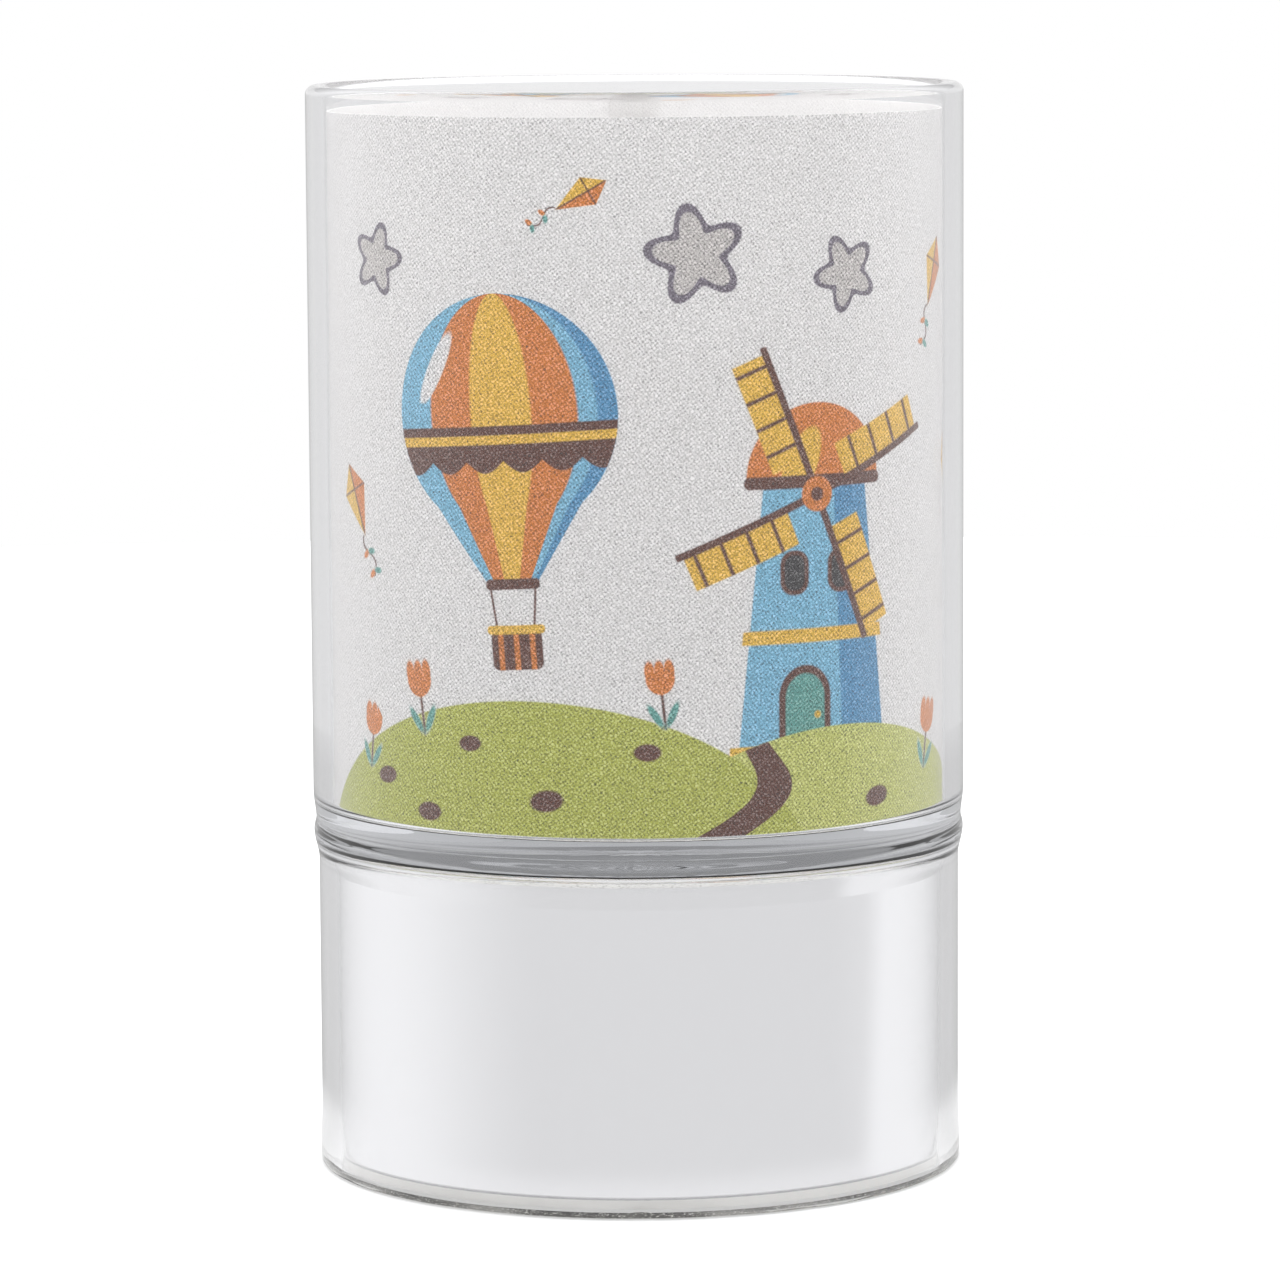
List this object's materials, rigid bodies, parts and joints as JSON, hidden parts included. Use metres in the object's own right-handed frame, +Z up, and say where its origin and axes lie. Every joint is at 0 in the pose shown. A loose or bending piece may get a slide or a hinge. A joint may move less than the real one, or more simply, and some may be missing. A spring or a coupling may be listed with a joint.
{
  "type": "battery glass table lamp",
  "caption": "Cylindrical clear glass night-light lamp with a rolled printed sleeve above a mirror-lined battery light module.",
  "frame": {"origin": "on the table plane under the middle of the glass foot, on the axis of the glass", "axes": "+Z up along the glass axis; the front, which the picture shows, faces -Y; the laps of the rolled sheets are at +Y"},
  "size_m": [0.075, 0.075, 0.124],
  "materials": {
    "clear_glass": "polished, fire-rounded rim",
    "printed_fabric": "translucent white woven sheet with a printed picture",
    "clear_tape": "thin double-sided tape",
    "mirror_film": "metallised film, mirror bright",
    "white_plastic": "moulded, fine grain",
    "reflector_plastic": "moulded, glossy white",
    "foam": "closed-cell foam tape",
    "screw_steel": "zinc plated",
    "board_laminate": "solder resist over glass laminate",
    "led_resin": "clear cast resin, warm white",
    "tinned_steel": "tinned",
    "chip_resin": "moulded resin",
    "resistor_body": "ceramic chip, dark cover",
    "cell_jacket": null,
    "spring_steel": "nickel plated wire",
    "contact_steel": "nickel plated strip",
    "switch_steel": "pressed, tinned",
    "slider_plastic": "moulded",
    "contact_brass": "plated brass strip",
    "wire_red": "insulated wire",
    "wire_black": "insulated wire",
    "wire_yellow": "insulated wire"
  },
  "bodies": {
    "lamp": {"glass_body": "clear_glass", "print_sleeve": "printed_fabric", "seam_tape": "clear_tape", "mirror_liner": "mirror_film", "module_housing": "white_plastic", "foam_ring": "foam", "reflector_dish": "reflector_plastic", "dish_screws": "screw_steel", "led_board": "board_laminate", "board_screws": "screw_steel", "led_1": "led_resin", "led_2": "led_resin", "led_3": "led_resin", "led_legs": "tinned_steel", "driver_chip": "chip_resin", "chip_legs": "tinned_steel", "resistors": "resistor_body", "battery_1": "cell_jacket", "battery_2": "cell_jacket", "battery_3": "cell_jacket", "contact_spring_1": "spring_steel", "contact_spring_2": "spring_steel", "contact_spring_3": "spring_steel", "link_contact_right": "contact_steel", "link_contact_left": "contact_steel", "positive_terminal": "contact_steel", "negative_terminal": "contact_steel", "switch_case": "switch_steel", "switch_terminals": "contact_brass", "switch_screws": "screw_steel", "lead_red": "wire_red", "lead_black": "wire_black", "lead_yellow": "wire_yellow"},
    "door": {"battery_door": "white_plastic"},
    "slider": {"switch_slider": "slider_plastic", "switch_clip": "contact_brass"}
  },
  "joints": [
    {"name": "battery_door_hinge", "type": "hinge", "parent": "lamp", "child": "door", "pos_m": [-0.02505, 0, 0.0018], "axis": [0, 1, 0], "range_deg": [0, 90]},
    {"name": "switch_slide", "type": "slide", "parent": "lamp", "child": "slider", "axis": [1, 0, 0], "range_m": [0, 0.002]}
  ]
}
